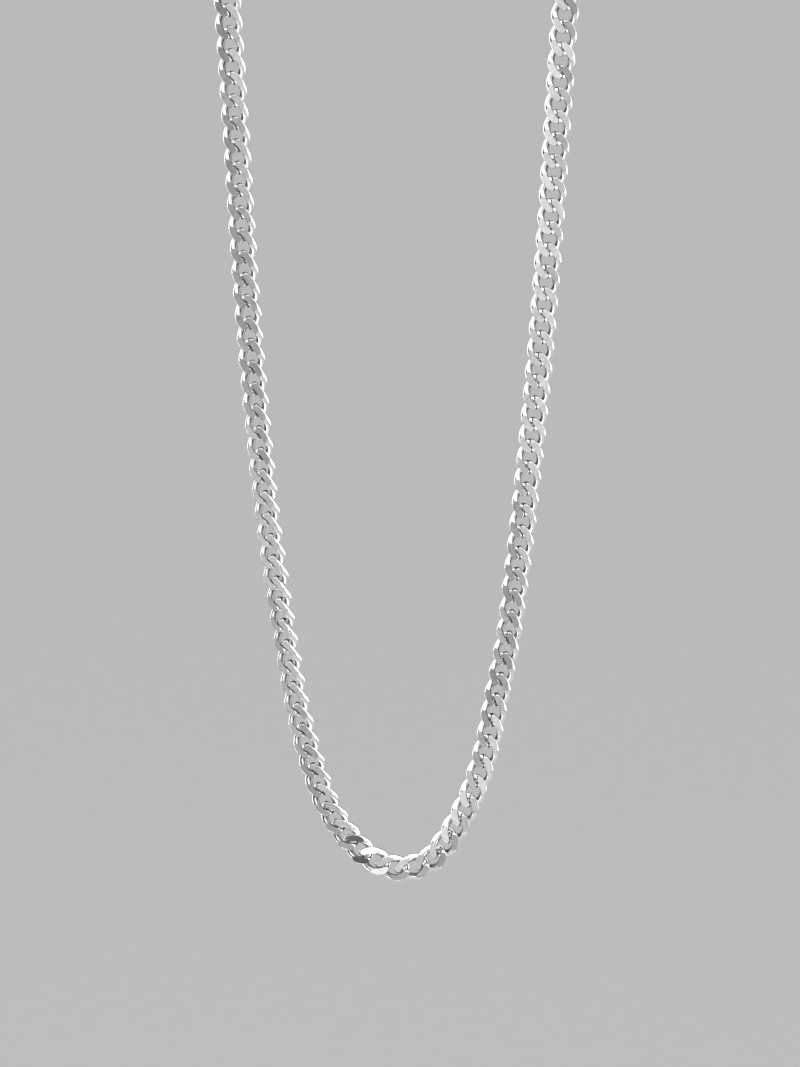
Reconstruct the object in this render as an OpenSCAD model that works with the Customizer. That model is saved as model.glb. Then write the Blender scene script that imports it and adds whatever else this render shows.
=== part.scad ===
// Curb chain necklace: twisted links ground flat front and back, in one loop closed at the nape

/* [Links] */
// Width of a link across the chain
link_w = 5; // [4.6:0.1:7]
// Length of a link from end to end
link_l = 6.7; // [6.4:0.1:8]
// Thickness of the wire that a link is bent from
wire_d = 1.25; // [0.9:0.05:1.35]
// Thickness of a link over its two ground flats
flat_t = 2; // [1.7:0.05:2.6]
// Play between the ends of two links that are drawn tight
play = 0.2; // [0.18:0.01:0.4]
// Play between the sides of two links where they cross
side_play = 0.35; // [0.3:0.05:0.5]

/* [Rings beside the clasp] */
// Outer width of a ring
ring_w = 5.2; // [5:0.1:6.5]
// Thickness of a ring's wire
ring_wire_d = 0.9; // [0.7:0.05:1]

/* [Clasp] */
// Length of the clasp
clasp_l = 12; // [10.5:0.5:18]
// Width of the clasp across its bow
clasp_w = 5.4; // [5:0.1:7]
// Thickness of the clasp's body
clasp_t = 2; // [1.4:0.1:2.2]
// Width of the metal round the bow's opening
bow_wall = 1.1; // [0.8:0.05:1.2]
// Outer width of the eye at the clasp's tail
eye_w = 3.2; // [2.8:0.1:3.6]
// Bore of the eye
eye_bore_d = 1.7; // [1.5:0.05:1.9]
// Thickness of the eye
eye_t = 1; // [0.8:0.05:1.2]

/* [Hidden] */
$fn = 64;

// The link's oval, and how far its wire swings out of the middle plane at each crossing
half_l = (link_l - wire_d) / 2;
half_w = (link_w - wire_d) / 2;
swing = (wire_d + side_play) / 2;
pitch = link_l - 2 * wire_d - play;

// A link has stations round its oval and a five-sided wire, whose corners stand just outside the round one
stations = 10;
sides = 5;
corner_share = 1.024;
corner_r = corner_share * wire_d / 2;
link_points = stations * sides;

// The hardware lies along X at the nape, and the skin is at y = 0
nape_y = flat_t / 2;
ring_r = (ring_w - ring_wire_d) / 2;
ring_inner_r = ring_r - ring_wire_d / 2;
eye_x = (eye_w - clasp_l) / 2;
bow_x = (clasp_l - clasp_w) / 2;
bow_hole_r = clasp_w / 2 - bow_wall;
clasp_ring_x = eye_x - eye_bore_d / 2 + play - ring_reach(eye_t);
end_ring_x = clasp_l / 2 - bow_wall - play + ring_reach(clasp_t);
link_offset = ring_inner_r - side_play - wire_d / 2 + half_l;
left_end_x = clasp_ring_x - link_offset;
right_end_x = end_ring_x + link_offset;

// How far from a ring's centre its inside edge still clears a wall of thickness t
function ring_reach(t) = sqrt(ring_inner_r ^ 2 - (t / 2) ^ 2);

// The chain's chosen route, from its left end round the front to its right end: x, y and z of the
// chain's middle, the heading that its flat side faces, and how close the links sit, 1 being drawn tight
FACE = 3;
SPACING = 4;
ROUTE = [
    [left_end_x, nape_y, 0, -270, 1],
    [-22.5, -1.2, -0.3, -257, 1],
    [-35, -7, -1.2, -240, 1],
    [-44.8, -16, -2.5, -218, 1],
    [-50.3, -28, -4.5, -193, 1],
    [-50.3, -40.5, -7.5, -176, 1],
    [-46, -52.5, -12.5, -157, 1],
    [-39.5, -62, -20, -140, 1],
    [-34, -69, -29.5, -122, 1],
    [-31.4, -72.8, -40.5, -108, 1],
    [-30.5, -74, -53, -102, 1],
    [-29.1, -74, -77, -104, 1],
    [-27.7, -74, -101.5, -107, 1],
    [-25.8, -74, -125.5, -113, 1],
    [-24.1, -74, -143, -122, 1],
    [-22.4, -74, -156, -130, 1],
    [-20.6, -74, -168, -128, 1],
    [-18.4, -74, -180.6, -120, 1],
    [-16.1, -74, -189.4, -113, 0.98],
    [-13.4, -74, -197.1, -106, 0.96],
    [-9.2, -74, -203.7, -99, 0.94],
    [-5.5, -74, -207.2, -92, 0.93],
    [0.2, -74, -209.3, -89, 0.93],
    [5.7, -74, -207.5, -88, 0.94],
    [9.2, -74, -203.2, -90, 0.95],
    [12.3, -74, -197.6, -95, 0.98],
    [15.7, -74, -187.9, -104, 0.995],
    [17.7, -74, -177.7, -112, 0.995],
    [19.8, -74, -166.5, -118, 0.995],
    [21.3, -74, -154.7, -112, 0.995],
    [23.2, -74, -137, -102, 0.995],
    [25.4, -74, -113, -95, 0.995],
    [27.1, -74, -89, -91, 0.995],
    [28.5, -74, -65, -87, 0.995],
    [29.4, -74, -51, -84, 1],
    [30.8, -72.5, -39.5, -76, 1],
    [33.6, -69, -29.5, -60, 1],
    [39.5, -62, -20, -42, 1],
    [46, -52.5, -12.5, -25, 1],
    [50.5, -40.5, -7.5, -5, 1],
    [50.5, -28, -4.5, 12, 1],
    [45, -16, -2.5, 38, 1],
    [35, -7, -1.2, 60, 1],
    [22.5, -1.2, -0.3, 77, 1],
    [right_end_x, nape_y, 0, 90, 1]
];
last = len(ROUTE) - 1;

function unit(v) = v / norm(v);
function place(row) = [row.x, row.y, row.z];

// The route is a smooth curve through its rows: the straight spans between them, and the slope at each
// row, which at either end is straight along the hardware
SPANS = [for (i = [0 : last - 1]) norm(place(ROUTE[i + 1]) - place(ROUTE[i]))];
CHORDS = [for (i = [0 : last - 1]) (ROUTE[i + 1] - ROUTE[i]) / SPANS[i]];
END_SLOPE = [-1, 0, 0, 0, 0];
SLOPES = [
    for (i = [0 : last])
        i == 0 || i == last
            ? END_SLOPE
            : (CHORDS[i - 1] * SPANS[i] + CHORDS[i] * SPANS[i - 1]) / (SPANS[i - 1] + SPANS[i])
];

// A row of the curve at u, which counts rows: 2.5 is halfway from row 2 to row 3
function route_at(u) =
    let (
        i = min(floor(u), last - 1),
        t = u - i,
        h = SPANS[i]
    )
    (2 * t ^ 3 - 3 * t ^ 2 + 1) * ROUTE[i]
        + (t ^ 3 - 2 * t ^ 2 + t) * h * SLOPES[i]
        + (3 * t ^ 2 - 2 * t ^ 3) * ROUTE[i + 1]
        + (t ^ 3 - t ^ 2) * h * SLOPES[i + 1];

// How many links reach each point of the curve, and the whole number of links that fills it
steps_per_row = 12;
CURVE = [for (k = [0 : last * steps_per_row]) route_at(k / steps_per_row)];
STEPS = [
    for (k = [1 : len(CURVE) - 1])
        norm(place(CURVE[k]) - place(CURVE[k - 1]))
            / (pitch * (CURVE[k][SPACING] + CURVE[k - 1][SPACING]) / 2)
];
COUNTS = [
    for (k = 0, sum = 0; k < len(CURVE); sum = sum + (k < len(STEPS) ? STEPS[k] : 0), k = k + 1)
        [sum, k / steps_per_row]
];
route_links = COUNTS[len(COUNTS) - 1][0];
links = ceil(route_links) + 1;
left_links = ceil(links / 2);
draw = route_links / (links - 1);

// Each link's centre and heading
CENTRES = [for (k = [0 : links - 1]) route_at(lookup(k * draw, COUNTS))];
function along(k) =
    k == 0 || k == links - 1
        ? place(END_SLOPE)
        : unit(place(CENTRES[k + 1]) - place(CENTRES[k - 1]));
function facing(k) =
    let (
        heading = CENTRES[k][FACE],
        outward = [cos(heading), sin(heading), 0],
        t = along(k)
    )
    unit(outward - (outward * t) * t);

// The middle of a link's wire at angle a round the oval: across the chain, out of its face, along it.
// A small turn to either side gives the way that the wire runs there
small_turn = 0.1;
function wire_middle(a) =
    let (s = sin(2 * a))
    [half_w * sin(a), swing * s * (3 - s ^ 2) / 2, half_l * cos(a)];
function wire_corner(a, b) =
    let (
        heading = unit(wire_middle(a + small_turn) - wire_middle(a - small_turn)),
        rim = [sin(a) / half_w, 0, cos(a) / half_l],
        outward = unit(rim - (rim * heading) * heading),
        across = cross(heading, outward),
        p = wire_middle(a) + corner_r * (cos(b) * outward + sin(b) * across)
    )
    [p.x, max(-flat_t / 2, min(flat_t / 2, p.y)), p.z];
LINK = [
    for (i = [0 : stations - 1])
        for (j = [0 : sides - 1])
            wire_corner(i * 360 / stations, (j + 0.5) * 360 / sides)
];

// The links from number a to number b as one mesh of loose, interlocked rings
module link_run(a, b) {
    points = [
        for (k = [a : b])
            let (
                t = along(k),
                n = facing(k),
                s = cross(t, n),
                centre = place(CENTRES[k])
            )
            for (p = LINK)
                centre + p.x * s + p.y * n + p.z * t
    ];
    faces = [
        for (k = [0 : b - a])
            for (i = [0 : stations - 1])
                for (j = [0 : sides - 1])
                    let (
                        ring = k * link_points,
                        here = ring + i * sides,
                        next = ring + (i + 1) % stations * sides,
                        up = (j + 1) % sides
                    )
                    for (face = [
                        [here + j, here + up, next + up],
                        [here + j, next + up, next + j]
                    ])
                        face
    ];
    polyhedron(points, faces);
}

module chain_left() {
    color("silver")
        link_run(0, left_links - 1);
}

module chain_right() {
    color("gainsboro")
        link_run(left_links, links - 1);
}

module ring_at(x) {
    translate([x, nape_y, 0])
        rotate_extrude()
            translate([ring_r, 0])
                circle(d = ring_wire_d);
}

module clasp_ring() {
    color("darkgray")
        ring_at(clasp_ring_x);
}

module end_ring() {
    color("darkgray")
        ring_at(end_ring_x);
}

// The body's sides run straight from the eye to the bow, touching both rounds
module clasp_outline() {
    lean = asin((clasp_w - eye_w) / 2 / (bow_x - eye_x));
    bow_edge = clasp_w / 2 * [-sin(lean), cos(lean)];
    eye_edge = eye_w / 2 * [-sin(lean), cos(lean)];
    translate([bow_x, 0])
        circle(d = clasp_w);
    polygon([
        [bow_x + bow_edge.x, bow_edge.y],
        [eye_x + eye_edge.x, eye_edge.y],
        [eye_x + eye_edge.x, -eye_edge.y],
        [bow_x + bow_edge.x, -bow_edge.y]
    ]);
    translate([eye_x, 0])
        circle(d = eye_w);
}

// The eye is thinner than the body, so that the ring beside it has room to pass
module clasp() {
    body_x = clasp_ring_x + ring_w / 2 + play;
    color("lightgray")
        translate([0, nape_y, 0])
            rotate([90, 0, 0])
                difference() {
                    union() {
                        linear_extrude(eye_t, center = true)
                            clasp_outline();
                        linear_extrude(clasp_t, center = true)
                            intersection() {
                                clasp_outline();
                                translate([body_x, -clasp_w])
                                    square([clasp_l, 2 * clasp_w]);
                            }
                    }
                    translate([eye_x, 0])
                        cylinder(h = 2 * clasp_t, d = eye_bore_d, center = true);
                    translate([bow_x, 0])
                        cylinder(h = 2 * clasp_t, r = bow_hole_r, center = true);
                }
}

chain_left();
chain_right();
clasp();
clasp_ring();
end_ring();
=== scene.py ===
import math
import random

import bmesh
import bpy
import numpy as np
from mathutils import Euler, Matrix, Vector


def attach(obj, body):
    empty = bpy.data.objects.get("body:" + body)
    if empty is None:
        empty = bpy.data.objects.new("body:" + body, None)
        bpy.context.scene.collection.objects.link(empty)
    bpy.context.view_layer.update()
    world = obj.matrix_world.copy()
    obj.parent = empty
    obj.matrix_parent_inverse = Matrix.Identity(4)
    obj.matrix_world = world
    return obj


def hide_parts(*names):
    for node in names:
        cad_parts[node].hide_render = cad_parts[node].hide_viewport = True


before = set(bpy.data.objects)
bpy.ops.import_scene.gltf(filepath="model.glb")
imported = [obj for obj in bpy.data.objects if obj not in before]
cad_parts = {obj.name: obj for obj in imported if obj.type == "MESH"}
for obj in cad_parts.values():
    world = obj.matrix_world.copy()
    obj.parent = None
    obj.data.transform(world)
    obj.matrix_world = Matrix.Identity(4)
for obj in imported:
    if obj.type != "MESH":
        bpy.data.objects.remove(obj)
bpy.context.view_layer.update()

# The chain's links. Each one is a closed ring of round silver wire, twisted so that it crosses itself
# clear, and then ground flat on the front and on the back. Its sizes are in millimetres.
MM = 0.001
link_w = 5
link_l = 6.7
wire_d = 1.25
flat_t = 2
play = 0.2
side_play = 0.35
half_l = (link_l - wire_d) / 2
half_w = (link_w - wire_d) / 2
swing = (wire_d + side_play) / 2
pitch = link_l - 2 * wire_d - play
end_slim = 0.27
early_turn = 0.2
flank_spread = 0.08
wire_sides = 14
wire_steps = 48
crowding = 0.2
rim_w = 0.04
rim_drop = 0.016
fall_away = math.radians(4)


def wire_middle(a):
    """The middle of the wire: an oval, slimmer near its ends, that crosses from back to front close by them."""
    s = math.sin(2 * a + early_turn * math.sin(2 * a))
    slimmed = half_w * math.sin(a) * (1 - end_slim * math.cos(a) ** 2)
    pressed = wire_d / 2 * flank_spread * math.sin(a) ** 3
    return Vector((slimmed - pressed, swing * s * (3 - s ** 2) / 2, half_l * math.cos(a)))


def twist_wire(co):
    """Where a point of a plain ring goes when the ring is bent to the link's twisted oval."""
    even = math.atan2(co.x, co.z)
    a = even - crowding * math.sin(2 * even)
    b = math.atan2(-co.y, math.hypot(co.x, co.z) - half_w)
    nudge = 0.002
    heading = (wire_middle(a + nudge) - wire_middle(a - nudge)).normalized()
    rim = Vector((math.sin(a) / half_w, 0, math.cos(a) / half_l))
    outward = (rim - rim.dot(heading) * heading).normalized()
    across = heading.cross(outward)
    thick = wire_d / 2 * (1 + flank_spread * math.sin(a) ** 2)
    return wire_middle(a) + thick * (math.cos(b) * outward + math.sin(b) * across)


link = bmesh.new()
bmesh.ops.create_circle(
    link, segments=wire_sides, radius=wire_d / 2, matrix=Matrix.Translation((half_w, 0, 0)),
)
bmesh.ops.spin(
    link, geom=link.verts[:] + link.edges[:], cent=(0, 0, 0), axis=(0, 1, 0),
    angle=2 * math.pi, steps=wire_steps, use_merge=True,
)
bmesh.ops.remove_doubles(link, verts=link.verts, dist=0.001)
for v in link.verts:
    v.co = twist_wire(v.co)
for side in (-1, 1):
    ground = bmesh.ops.bisect_plane(
        link, geom=link.verts[:] + link.edges[:] + link.faces[:], dist=0.001,
        plane_co=(0, side * (flat_t / 2 - rim_drop), 0), plane_no=(0, side, 0), clear_outer=True,
    )
    cut = [g for g in ground["geom_cut"] if isinstance(g, bmesh.types.BMVert)]
    bmesh.ops.remove_doubles(link, verts=cut, dist=0.05)
bmesh.ops.recalc_face_normals(link, faces=link.faces)
for face in link.faces:
    face.smooth = True
flats = bmesh.ops.holes_fill(link, edges=[e for e in link.edges if e.is_boundary], sides=0)["faces"]
bmesh.ops.recalc_face_normals(link, faces=link.faces)
for share in (0.7, 0.3):
    rim = bmesh.ops.inset_region(
        link, faces=flats, thickness=rim_w / 2, depth=rim_drop * share, use_even_offset=True,
    )["faces"]
    for face in rim:
        face.smooth = True
for face in flats:
    face.smooth = False
    face.material_index = 1
    middle = face.calc_center_median()
    fall = Matrix.Rotation(-math.copysign(fall_away, middle.x * middle.y), 3, "Z")
    bmesh.ops.rotate(link, cent=middle, matrix=fall, verts=face.verts)
one_link = bpy.data.meshes.new("one_link")
link.to_mesh(one_link)
link.free()

# The chain's route. It lies nearly level at the back and round the sides, bends over and hangs down in front.
# These rows give its middle in millimetres, the heading that its flat side faces, and how close the links sit.
FACE = 3
SPACING = 4
ROUTE = np.array([
    [-10.1248, 1, 0, -270, 1],
    [-22.5, -1.2, -0.3, -257, 1],
    [-35, -7, -1.2, -240, 1],
    [-44.8, -16, -2.5, -218, 1],
    [-50.3, -28, -4.5, -193, 1],
    [-50.3, -40.5, -7.5, -176, 1],
    [-46, -52.5, -12.5, -157, 1],
    [-39.5, -62, -20, -140, 1],
    [-34, -69, -29.5, -122, 1],
    [-31.4, -72.8, -40.5, -108, 1],
    [-30.5, -74, -53, -102, 1],
    [-29.1, -74, -77, -104, 1],
    [-27.7, -74, -101.5, -107, 1],
    [-25.8, -74, -125.5, -113, 1],
    [-24.1, -74, -143, -122, 1],
    [-22.4, -74, -156, -130, 1],
    [-20.6, -74, -168, -128, 1],
    [-18.4, -74, -180.6, -120, 1],
    [-16.1, -74, -189.4, -113, 0.98],
    [-13.4, -74, -197.1, -106, 0.96],
    [-9.2, -74, -203.7, -99, 0.94],
    [-5.5, -74, -207.2, -92, 0.93],
    [0.2, -74, -209.3, -89, 0.93],
    [5.7, -74, -207.5, -88, 0.94],
    [9.2, -74, -203.2, -90, 0.95],
    [12.3, -74, -197.6, -95, 0.98],
    [15.7, -74, -187.9, -104, 0.995],
    [17.7, -74, -177.7, -112, 0.995],
    [19.8, -74, -166.5, -118, 0.995],
    [21.3, -74, -154.7, -112, 0.995],
    [23.2, -74, -137, -102, 0.995],
    [25.4, -74, -113, -95, 0.995],
    [27.1, -74, -89, -91, 0.995],
    [28.5, -74, -65, -87, 0.995],
    [29.4, -74, -51, -84, 1],
    [30.8, -72.5, -39.5, -76, 1],
    [33.6, -69, -29.5, -60, 1],
    [39.5, -62, -20, -42, 1],
    [46, -52.5, -12.5, -25, 1],
    [50.5, -40.5, -7.5, -5, 1],
    [50.5, -28, -4.5, 12, 1],
    [45, -16, -2.5, 38, 1],
    [35, -7, -1.2, 60, 1],
    [22.5, -1.2, -0.3, 77, 1],
    [9.5248, 1, 0, 90, 1],
])
spans = np.linalg.norm(np.diff(ROUTE[:, :3], axis=0), axis=1)[:, None]
chords = np.diff(ROUTE, axis=0) / spans
slopes = np.zeros_like(ROUTE)
slopes[1:-1] = (chords[:-1] * spans[1:] + chords[1:] * spans[:-1]) / (spans[:-1] + spans[1:])
slopes[0] = slopes[-1] = (-1, 0, 0, 0, 0)


def route_at(u):
    """A row of the curve at u, which counts rows: 2.5 is halfway from row 2 to row 3."""
    i = min(int(u), len(spans) - 1)
    t, h = u - i, spans[i]
    return (
        (2 * t ** 3 - 3 * t ** 2 + 1) * ROUTE[i] + (t ** 3 - 2 * t ** 2 + t) * h * slopes[i]
        + (3 * t ** 2 - 2 * t ** 3) * ROUTE[i + 1] + (t ** 3 - t ** 2) * h * slopes[i + 1]
    )


places = np.arange(len(spans) * 12 + 1) / 12
curve = np.array([route_at(u) for u in places])
reach = pitch * (curve[1:, SPACING] + curve[:-1, SPACING]) / 2
steps = np.linalg.norm(np.diff(curve[:, :3], axis=0), axis=1) / reach
counts = np.concatenate([[0], np.cumsum(steps)])
links = math.ceil(counts[-1]) + 1
centres = [route_at(u) for u in np.interp(np.linspace(0, counts[-1], links), counts, places)]
chance = random.Random(5)
askew_degrees = (1.0, 0.8, 1.8)


def seat(k):
    """The matrix that carries a link from its own axes to its place on the chain, a little askew.

    It mirrors the link, as the chain is twisted that way, so the faces are turned outwards again afterwards."""
    middle = Vector(centres[k][:3])
    if k in (0, links - 1):
        along = Vector((-1, 0, 0))
    else:
        along = Vector(centres[k + 1][:3] - centres[k - 1][:3]).normalized()
    heading = math.radians(centres[k][FACE])
    outward = Vector((math.cos(heading), math.sin(heading), 0))
    facing = (outward - outward.dot(along) * along).normalized()
    turn = Matrix((along.cross(facing), facing, along)).transposed()
    askew = Euler([math.radians(chance.gauss(0, spread)) for spread in askew_degrees]).to_matrix()
    return Matrix.LocRotScale(middle * MM, turn @ askew, (MM, MM, MM))


seats = [seat(k) for k in range(links)]


# The silver of the chain: the round wire is polished bright, with faint drawn lines along it, and is painted
# dark on the inner side of each link, a painted shade. The ground flats keep the wheel's fine grain.
class Value:
    """A socket of a material's nodes. Python's own arithmetic on it adds Math nodes."""

    def __init__(self, tree, socket=None):
        self.tree = tree
        self.socket = socket

    def node(self, kind, settings=(), out=0, **sockets):
        made = self.tree.nodes.new("ShaderNode" + kind)
        for name, setting in dict(settings).items():
            setattr(made, name, setting)
        for name, given in sockets.items():
            spot = made.inputs[int(name[1:]) if name[1:].isdigit() else name.replace("_", " ")]
            if isinstance(given, Value):
                self.tree.links.new(given.socket, spot)
            else:
                spot.default_value = given
        return Value(self.tree, made.outputs[out])

    def math(self, operation, *given):
        return self.node("Math", {"operation": operation}, **{f"i{n}": g for n, g in enumerate(given)})

    def __add__(self, other):
        return self.math("ADD", self, other)

    def __radd__(self, other):
        return self.math("ADD", other, self)

    def __sub__(self, other):
        return self.math("SUBTRACT", self, other)

    def __rsub__(self, other):
        return self.math("SUBTRACT", other, self)

    def __mul__(self, other):
        return self.math("MULTIPLY", self, other)

    def __rmul__(self, other):
        return self.math("MULTIPLY", other, self)

    def __truediv__(self, other):
        return self.math("DIVIDE", self, other)

    def __pow__(self, other):
        return self.math("POWER", self, other)

    def between(self, low, high):
        """0 where the value is under low, 1 where it is over high, and a smooth rise from one to the other."""
        return self.node(
            "MapRange", {"interpolation_type": "SMOOTHSTEP"}, Value=self, From_Min=low, From_Max=high,
        )


def new_silver(name):
    material = bpy.data.materials.new(name)
    material.use_nodes = True
    shader = material.node_tree.nodes["Principled BSDF"]
    shader.inputs["Metallic"].default_value = 1
    return material, Value(material.node_tree), shader


def finish_silver(paint, shader, colour, rough, bump, depth):
    paint.tree.links.new(colour.socket, shader.inputs["Base Color"])
    paint.tree.links.new(rough.socket, shader.inputs["Roughness"])
    normal = paint.node("Bump", Strength=1.0, Distance=depth, Height=bump)
    paint.tree.links.new(normal.socket, shader.inputs["Normal"])


wire_silver, paint, shader = new_silver("polished_silver_wire")
own = paint.node("Attribute", {"attribute_name": "own"}, out=1)
drawn = paint.node("VectorMath", {"operation": "MULTIPLY"}, i0=own, i1=(5.0, 5.0, 1.2))
lines = paint.node("TexNoise", Vector=drawn, Scale=1.6, Detail=3.0, Roughness=0.6)
smears = paint.node("TexNoise", Vector=own, Scale=0.55, Detail=2.0)
colour = paint.node(
    "Mix", {"data_type": "RGBA"}, out=2,
    i0=smears.between(0.35, 0.7), i6=(0.95, 0.95, 0.955, 1), i7=(0.86, 0.862, 0.87, 1),
)
# Painted shade: the wire's colour darkens to near black on the inner side of each link.
painted_inner_shade = 1 - paint.node("Attribute", {"attribute_name": "reach"}, out=2).between(0.68, 0.88)
colour = paint.node("Mix", {"data_type": "RGBA"}, out=2, i0=painted_inner_shade, i6=colour, i7=(0.2, 0.2, 0.205, 1))
finish_silver(paint, shader, colour, 0.13 + 0.1 * smears.between(0.4, 0.75), lines, 0.000004)

flat_silver, paint, shader = new_silver("ground_silver_flats")
own = paint.node("Attribute", {"attribute_name": "own"}, out=1)
tone = paint.node("Attribute", {"attribute_name": "tone"}, out=2)
wheel = paint.node("VectorMath", {"operation": "MULTIPLY"}, i0=own, i1=(9.0, 1.0, 3.0))
grain = paint.node("TexNoise", Vector=wheel, Scale=1.5, Detail=4.0, Roughness=0.65)
clouds = paint.node("TexNoise", Vector=own, Scale=0.9, Detail=2.0)
shade = clouds * 0.6 + grain * 0.4
colour = paint.node(
    "Mix", {"data_type": "RGBA"}, out=2,
    i0=shade.between(0.3, 0.7), i6=(0.5, 0.5, 0.5, 1), i7=(0.66, 0.66, 0.662, 1),
)
# The tone scales the flats' colour: it is random on most links, painted shade on one link and a painted
# highlight on the next.
colour = paint.node("VectorMath", {"operation": "SCALE"}, i0=colour, Scale=tone)
finish_silver(paint, shader, colour, 0.26 + 0.12 * grain + 0.06 * clouds, grain, 0.000012)

# The chain is closed link by link: each ring is bent through the last one and soldered shut. Low on the left
# one link's flats are painted dark, a painted shade, and on the next the wheel has left them tipped a little
# upwards, and they are painted brighter, a painted highlight.
# Painted shade on the first link's flats and a painted highlight on the second's: their tones scale the flats'
# colour.
painted_shade_link = 72
tipped_link = 73
painted_shade_tone = 0.22
painted_light_tone = 1.5
tone_low = 0.88
tone_spread = 0.12
pattern_gap = 17
tip = Vector((0, 1, 0)).rotation_difference(Vector((-0.18, 1, -0.28))).to_matrix()
for node, first, end in (("chain_left", 0, links // 2), ("chain_right", links // 2, links)):
    run = bmesh.new()
    own_layer = run.verts.layers.float_vector.new("own")
    tone_layer = run.verts.layers.float.new("tone")
    shade_radius_layer = run.verts.layers.float.new("reach")
    for k in range(first, end):
        done = len(run.verts), len(run.faces)
        run.from_mesh(one_link)
        run.verts.ensure_lookup_table()
        run.faces.ensure_lookup_table()
        fresh = run.verts[done[0]:]
        usual_tone = tone_low + tone_spread * chance.random()
        # The flats' tone: random on most links, painted shade on link 72 and a painted highlight on link 73.
        tone_here = {painted_shade_link: painted_shade_tone, tipped_link: painted_light_tone}.get(k, usual_tone)
        if k == tipped_link:
            for face in run.faces[done[1]:]:
                if face.material_index == 1 and face.normal.y > 0.9:
                    bmesh.ops.rotate(run, cent=face.calc_center_median(), matrix=tip, verts=face.verts)
        for v in fresh:
            v[own_layer] = v.co + Vector((pattern_gap * k, 0, 0))
            v[tone_layer] = tone_here
            # The link's radius, which the wire's material reads to paint shade on the inner side of the link.
            v[shade_radius_layer] = math.hypot(v.co.x / half_w, v.co.z / half_l)
        bmesh.ops.transform(run, matrix=seats[k], verts=fresh)
    bmesh.ops.recalc_face_normals(run, faces=run.faces)
    mesh = bpy.data.meshes.new(node + "_links")
    run.to_mesh(mesh)
    run.free()
    mesh.materials.append(wire_silver)
    mesh.materials.append(flat_silver)
    piece = bpy.data.objects.new(node + "_links", mesh)
    bpy.context.scene.collection.objects.link(piece)
    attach(piece, "root")
    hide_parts(node)

# The two rings beside the clasp. Each is plain round silver wire, soldered shut, and keeps its own shape.
ring_silver, paint, shader = new_silver("polished_silver_rings")
place = paint.node("TexCoord", out=3)
lines = paint.node("TexNoise", Vector=place, Scale=3000.0, Detail=3.0, Roughness=0.6)
smears = paint.node("TexNoise", Vector=place, Scale=700.0, Detail=2.0)
colour = paint.node(
    "Mix", {"data_type": "RGBA"}, out=2,
    i0=smears.between(0.35, 0.7), i6=(0.94, 0.94, 0.945, 1), i7=(0.84, 0.842, 0.85, 1),
)
finish_silver(paint, shader, colour, 0.08 + 0.12 * smears.between(0.4, 0.75), lines, 0.000004)
for node in ("clasp_ring", "end_ring"):
    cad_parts[node].data.materials.clear()
    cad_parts[node].data.materials.append(ring_silver)

# The clasp is one small cast piece: a broad bow that holds one ring and a thin eye that holds the other,
# with every edge rounded by polishing.
clasp_corner = math.radians(50)
clasp_round = 0.00028
clasp_shape = bmesh.new()
clasp_shape.from_mesh(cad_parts["clasp"].data)
bmesh.ops.remove_doubles(clasp_shape, verts=clasp_shape.verts, dist=0.000001)
bmesh.ops.dissolve_limit(
    clasp_shape, angle_limit=math.radians(1), verts=clasp_shape.verts, edges=clasp_shape.edges,
)
corners = [e for e in clasp_shape.edges if e.is_manifold and e.calc_face_angle(0) > clasp_corner]
bmesh.ops.bevel(
    clasp_shape, geom=corners, offset=clasp_round, offset_type="OFFSET", segments=4, profile=0.5,
    affect="EDGES", clamp_overlap=True, material=-1,
)
for face in clasp_shape.faces:
    face.smooth = True
mesh = bpy.data.meshes.new("clasp_body")
clasp_shape.to_mesh(mesh)
clasp_shape.free()
clasp_silver, paint, shader = new_silver("cast_silver_clasp")
place = paint.node("TexCoord", out=3)
grain = paint.node("TexNoise", Vector=place, Scale=4200.0, Detail=4.0, Roughness=0.6)
handled = paint.node("TexNoise", Vector=place, Scale=420.0, Detail=3.0)
colour = paint.node(
    "Mix", {"data_type": "RGBA"}, out=2,
    i0=handled.between(0.38, 0.66), i6=(0.85, 0.85, 0.86, 1), i7=(0.7, 0.702, 0.715, 1),
)
finish_silver(paint, shader, colour, 0.16 + 0.14 * handled.between(0.4, 0.7), grain, 0.000008)
mesh.materials.clear()
mesh.materials.append(clasp_silver)
piece = bpy.data.objects.new("clasp_body", mesh)
bpy.context.scene.collection.objects.link(piece)
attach(piece, "root")
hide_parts("clasp")

# The floor is a very wide plain pale board, far enough below the lowest link that the light panels leave no
# bright edges on it.
floor_z = -0.8
floor_reach = 90
board = bmesh.new()
bmesh.ops.create_grid(
    board, x_segments=1, y_segments=1, size=floor_reach, matrix=Matrix.Translation((0, 0, floor_z)),
)
mesh = bpy.data.meshes.new("floor")
board.to_mesh(mesh)
board.free()
floor = bpy.data.objects.new("floor", mesh)
bpy.context.scene.collection.objects.link(floor)
material = bpy.data.materials.new("pale_board")
material.use_nodes = True
shader = material.node_tree.nodes["Principled BSDF"]
shader.inputs["Roughness"].default_value = 0.9
shader.inputs["Specular IOR Level"].default_value = 0.2
paint = Value(material.node_tree)
specks = paint.node("TexNoise", Vector=paint.node("TexCoord", out=3), Scale=60.0, Detail=3.0)
colour = paint.node(
    "Mix", {"data_type": "RGBA"}, out=2, i0=specks, i6=(0.46, 0.46, 0.456, 1), i7=(0.49, 0.49, 0.486, 1)
)
material.node_tree.links.new(colour.socket, shader.inputs["Base Color"])
mesh.materials.append(material)

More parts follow.
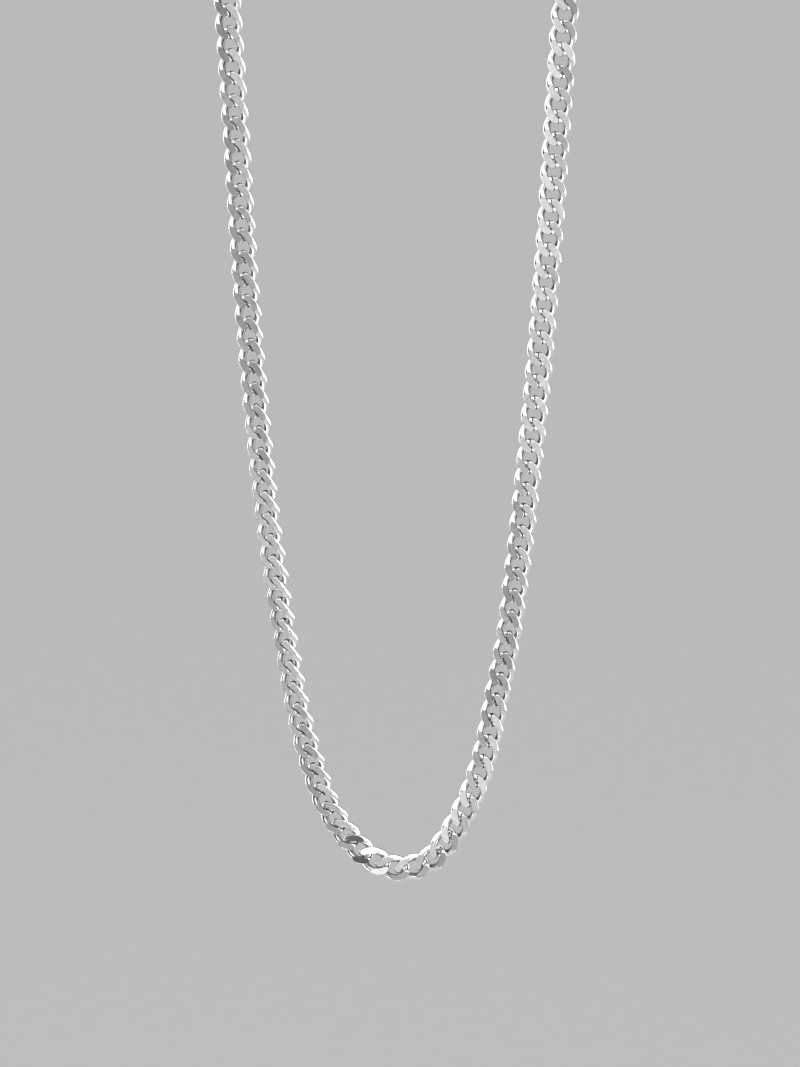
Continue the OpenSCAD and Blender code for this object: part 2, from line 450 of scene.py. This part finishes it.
# The studio light: tall soft panels stand round the necklace, two small ones stand low in front and on the
# left, one lies over the floor on the right, and the ceiling glows while the walls stay dim down to a pale
# skirting that meets the floor's far edge. Each panel stands at the first point and faces the second.
for name, place, aim, width, height, power in (
    ("panel_right", (0.55, -0.02, -0.03), (0, -0.07, -0.03), 0.8, 0.65, 3.5),
    ("panel_left_behind", (-0.46, 0.32, -0.03), (0, -0.07, -0.03), 0.4, 0.65, 1.4),
    ("panel_front", (-0.06, -1.24, 0.145), (0, -0.07, 0.145), 0.68, 0.61, 2.9),
    ("panel_low", (-0.12, -0.62, -0.32), (0, -0.07, -0.32), 0.36, 0.12, 0.26),
    ("panel_left_low", (-0.8, -0.35, -0.375), (0, -0.35, -0.375), 0.4, 0.35, 0.45),
    ("panel_over_right", (0.7, -0.15, 0.45), (0.7, -0.15, 0), 0.6, 0.8, 2),
):
    lamp = bpy.data.lights.new(name, "AREA")
    lamp.shape = "RECTANGLE"
    lamp.size = width
    lamp.size_y = height
    lamp.energy = power
    panel = bpy.data.objects.new(name, lamp)
    panel.location = place
    panel.rotation_euler = (Vector(aim) - Vector(place)).to_track_quat("-Z", "Y").to_euler()
    panel.visible_camera = False
    bpy.context.scene.collection.objects.link(panel)
world = bpy.data.worlds.new("room")
world.use_nodes = True
bpy.context.scene.world = world
room = Value(world.node_tree)
height = room.node("SeparateXYZ", out=2, Vector=room.node("TexCoord", out=0))
glow = 0.02 + 1.55 * height.between(0.5, 0.68) + 0.48 * (1 - height.between(0.05, 0.12))
world.node_tree.links.new(glow.socket, world.node_tree.nodes["Background"].inputs["Strength"])
world.node_tree.nodes["Background"].inputs["Color"].default_value = (1, 1, 1, 1)

# The camera stands in front, a little above the necklace, as the photograph was taken.
camera = bpy.data.objects.new("camera", bpy.data.cameras.new("camera"))
camera.data.sensor_fit = "VERTICAL"
camera.data.sensor_height = 36
camera.data.lens = 111.47
camera.data.clip_start = 0.01
camera.location = (0, -0.6688, -0.0411)
camera.rotation_euler = (math.radians(80), 0, 0)
bpy.context.scene.collection.objects.link(camera)
bpy.context.scene.camera = camera
bpy.context.scene.view_settings.view_transform = "Standard"
